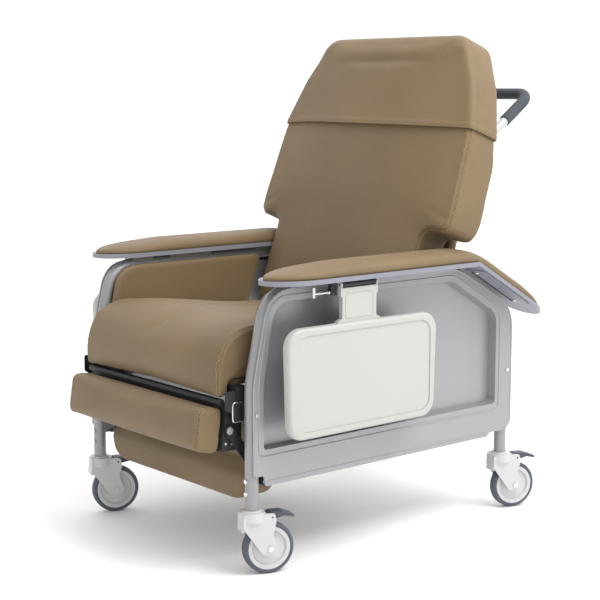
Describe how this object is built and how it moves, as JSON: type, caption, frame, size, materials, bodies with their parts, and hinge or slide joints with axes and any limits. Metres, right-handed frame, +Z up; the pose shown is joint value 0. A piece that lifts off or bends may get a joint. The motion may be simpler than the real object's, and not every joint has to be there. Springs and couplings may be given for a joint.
{
  "type": "patient recliner chair",
  "caption": "Wheeled reclining patient chair with leg rest, padded armrests, fold-up side trays and a push handle.",
  "frame": {"origin": "on the floor, under the middle of the chair's bounding box", "axes": "+Z up; the chair faces -Y; +X is the occupant's left"},
  "size_m": [0.848, 1.1499, 1.2765],
  "materials": {
    "upholstery": "soft satin vinyl with fine leather grain",
    "frame_paint": "satin powder coat",
    "side_panel_plastic": "fine moulded texture",
    "armrest_plastic": "satin moulded",
    "tray_plastic": "satin moulded",
    "black_steel": "black powder coat",
    "back_shell": "moulded shell",
    "plywood": "raw plywood",
    "handle_paint": "white powder coat",
    "grip_foam": "closed-cell foam",
    "bright_steel": "bright zinc plate",
    "caster_white": "satin moulded",
    "tyre_grey": "matt elastomer",
    "pedal_plastic": "satin moulded"
  },
  "bodies": {
    "base": {"side_frame_left": "frame_paint", "side_frame_right": "frame_paint", "rear_stretcher": "frame_paint", "seat_side_rails": "black_steel", "seat_cross_members": "black_steel", "seat_board": "plywood", "seat_cushion": "upholstery", "inner_side_pad_left": "upholstery", "inner_side_pad_right": "upholstery", "side_panel_left": "side_panel_plastic", "side_panel_right": "side_panel_plastic", "armrest_base_left": "armrest_plastic", "armrest_base_right": "armrest_plastic", "armrest_pad_left": "upholstery", "armrest_pad_right": "upholstery", "armrest_saddles": "frame_paint", "armrest_underplates": "armrest_plastic", "tray_hinge_brackets": "black_steel", "hinge_pins": "bright_steel", "frame_bolts": "bright_steel", "caster_stems": "bright_steel"},
    "backrest": {"back_cushion": "upholstery", "headrest_cover": "upholstery", "back_board": "back_shell", "back_frame": "black_steel", "push_handle": "handle_paint", "handle_grip": "grip_foam"},
    "leg_rest": {"leg_rest_arms": "black_steel", "calf_board": "plywood", "calf_pad": "upholstery", "foot_link_pins": "bright_steel"},
    "foot_link": {"foot_links": "black_steel", "bar_pivot_pins": "bright_steel"},
    "foot_bar": {"foot_bar_brackets": "black_steel", "foot_bar_pad": "upholstery"},
    "tray_left": {"flip_tray_left": "tray_plastic"},
    "tray_right": {"flip_tray_right": "tray_plastic"},
    "latch_left": {"tray_latch_left": "bright_steel"},
    "latch_right": {"tray_latch_right": "bright_steel"},
    "swivel_front_left": {"caster_fork_front_left": "caster_white", "caster_axle_front_left": "bright_steel"},
    "wheel_front_left": {"caster_wheel_front_left": "caster_white", "caster_tyre_front_left": "tyre_grey"},
    "brake_front_left": {"caster_pedal_front_left": "pedal_plastic"},
    "swivel_front_right": {"caster_fork_front_right": "caster_white", "caster_axle_front_right": "bright_steel"},
    "wheel_front_right": {"caster_wheel_front_right": "caster_white", "caster_tyre_front_right": "tyre_grey"},
    "brake_front_right": {"caster_pedal_front_right": "pedal_plastic"},
    "swivel_rear_left": {"caster_fork_rear_left": "caster_white", "caster_axle_rear_left": "bright_steel"},
    "wheel_rear_left": {"caster_wheel_rear_left": "caster_white", "caster_tyre_rear_left": "tyre_grey"},
    "brake_rear_left": {"caster_pedal_rear_left": "pedal_plastic"},
    "swivel_rear_right": {"caster_fork_rear_right": "caster_white", "caster_axle_rear_right": "bright_steel"},
    "wheel_rear_right": {"caster_wheel_rear_right": "caster_white", "caster_tyre_rear_right": "tyre_grey"},
    "brake_rear_right": {"caster_pedal_rear_right": "pedal_plastic"}
  },
  "joints": [
    {"name": "backrest_recline", "type": "hinge", "parent": "base", "child": "backrest", "pos_m": [0, 0.135, 0.52], "axis": [-1, 0, 0], "range_deg": [0, 27]},
    {"name": "leg_rest_lift", "type": "hinge", "parent": "base", "child": "leg_rest", "pos_m": [0, -0.375, 0.395], "axis": [-1, 0, 0], "range_deg": [0, 80]},
    {"name": "foot_link_unfold", "type": "hinge", "parent": "leg_rest", "child": "foot_link", "pos_m": [0, -0.388, 0.21], "axis": [-1, 0, 0], "range_deg": [-122.5, 0]},
    {"name": "foot_bar_turn", "type": "hinge", "parent": "foot_link", "child": "foot_bar", "pos_m": [0, -0.488, 0.345], "axis": [-1, 0, 0], "range_deg": [0, 122.5]},
    {"name": "tray_left_lift", "type": "hinge", "parent": "base", "child": "tray_left", "pos_m": [0.405, -0.187, 0.677], "axis": [0, -1, 0], "range_deg": [0, 90]},
    {"name": "tray_right_lift", "type": "hinge", "parent": "base", "child": "tray_right", "pos_m": [-0.405, -0.187, 0.677], "axis": [0, 1, 0], "range_deg": [0, 90]},
    {"name": "latch_left_pull", "type": "slide", "parent": "base", "child": "latch_left", "axis": [0, -1, 0], "range_m": [0, 0.008], "stiffness_N_per_m": 300},
    {"name": "latch_right_pull", "type": "slide", "parent": "base", "child": "latch_right", "axis": [0, -1, 0], "range_m": [0, 0.008], "stiffness_N_per_m": 300},
    {"name": "caster_swivel_front_left", "type": "hinge", "parent": "base", "child": "swivel_front_left", "pos_m": [0.3295, -0.45, 0.14], "axis": [0, 0, 1], "continuous": true},
    {"name": "wheel_roll_front_left", "type": "hinge", "parent": "swivel_front_left", "child": "wheel_front_left", "pos_m": [0.34223, -0.41261, 0.0625], "axis": [0.9466, -0.3223, 0], "continuous": true},
    {"name": "brake_press_front_left", "type": "hinge", "parent": "swivel_front_left", "child": "brake_front_left", "pos_m": [0.34368, -0.40835, 0.139], "axis": [-0.9466, 0.3223, 0], "range_deg": [0, 12]},
    {"name": "caster_swivel_front_right", "type": "hinge", "parent": "base", "child": "swivel_front_right", "pos_m": [-0.3295, -0.45, 0.14], "axis": [0, 0, 1], "continuous": true},
    {"name": "wheel_roll_front_right", "type": "hinge", "parent": "swivel_front_right", "child": "wheel_front_right", "pos_m": [-0.31677, -0.41261, 0.0625], "axis": [0.9466, -0.3223, 0], "continuous": true},
    {"name": "brake_press_front_right", "type": "hinge", "parent": "swivel_front_right", "child": "brake_front_right", "pos_m": [-0.31532, -0.40835, 0.139], "axis": [-0.9466, 0.3223, 0], "range_deg": [0, 12]},
    {"name": "caster_swivel_rear_left", "type": "hinge", "parent": "base", "child": "swivel_rear_left", "pos_m": [0.3295, 0.404, 0.14], "axis": [0, 0, 1], "continuous": true},
    {"name": "wheel_roll_rear_left", "type": "hinge", "parent": "swivel_rear_left", "child": "wheel_rear_left", "pos_m": [0.34223, 0.44139, 0.0625], "axis": [0.9466, -0.3223, 0], "continuous": true},
    {"name": "brake_press_rear_left", "type": "hinge", "parent": "swivel_rear_left", "child": "brake_rear_left", "pos_m": [0.34368, 0.44565, 0.139], "axis": [-0.9466, 0.3223, 0], "range_deg": [0, 12]},
    {"name": "caster_swivel_rear_right", "type": "hinge", "parent": "base", "child": "swivel_rear_right", "pos_m": [-0.3295, 0.404, 0.14], "axis": [0, 0, 1], "continuous": true},
    {"name": "wheel_roll_rear_right", "type": "hinge", "parent": "swivel_rear_right", "child": "wheel_rear_right", "pos_m": [-0.31677, 0.44139, 0.0625], "axis": [0.9466, -0.3223, 0], "continuous": true},
    {"name": "brake_press_rear_right", "type": "hinge", "parent": "swivel_rear_right", "child": "brake_rear_right", "pos_m": [-0.31532, 0.44565, 0.139], "axis": [-0.9466, 0.3223, 0], "range_deg": [0, 12]}
  ],
  "couplings": [
    {"joint": "foot_link_unfold", "follows": "leg_rest_lift", "ratio": -1.525},
    {"joint": "foot_bar_turn", "follows": "leg_rest_lift", "ratio": 1.525}
  ]
}
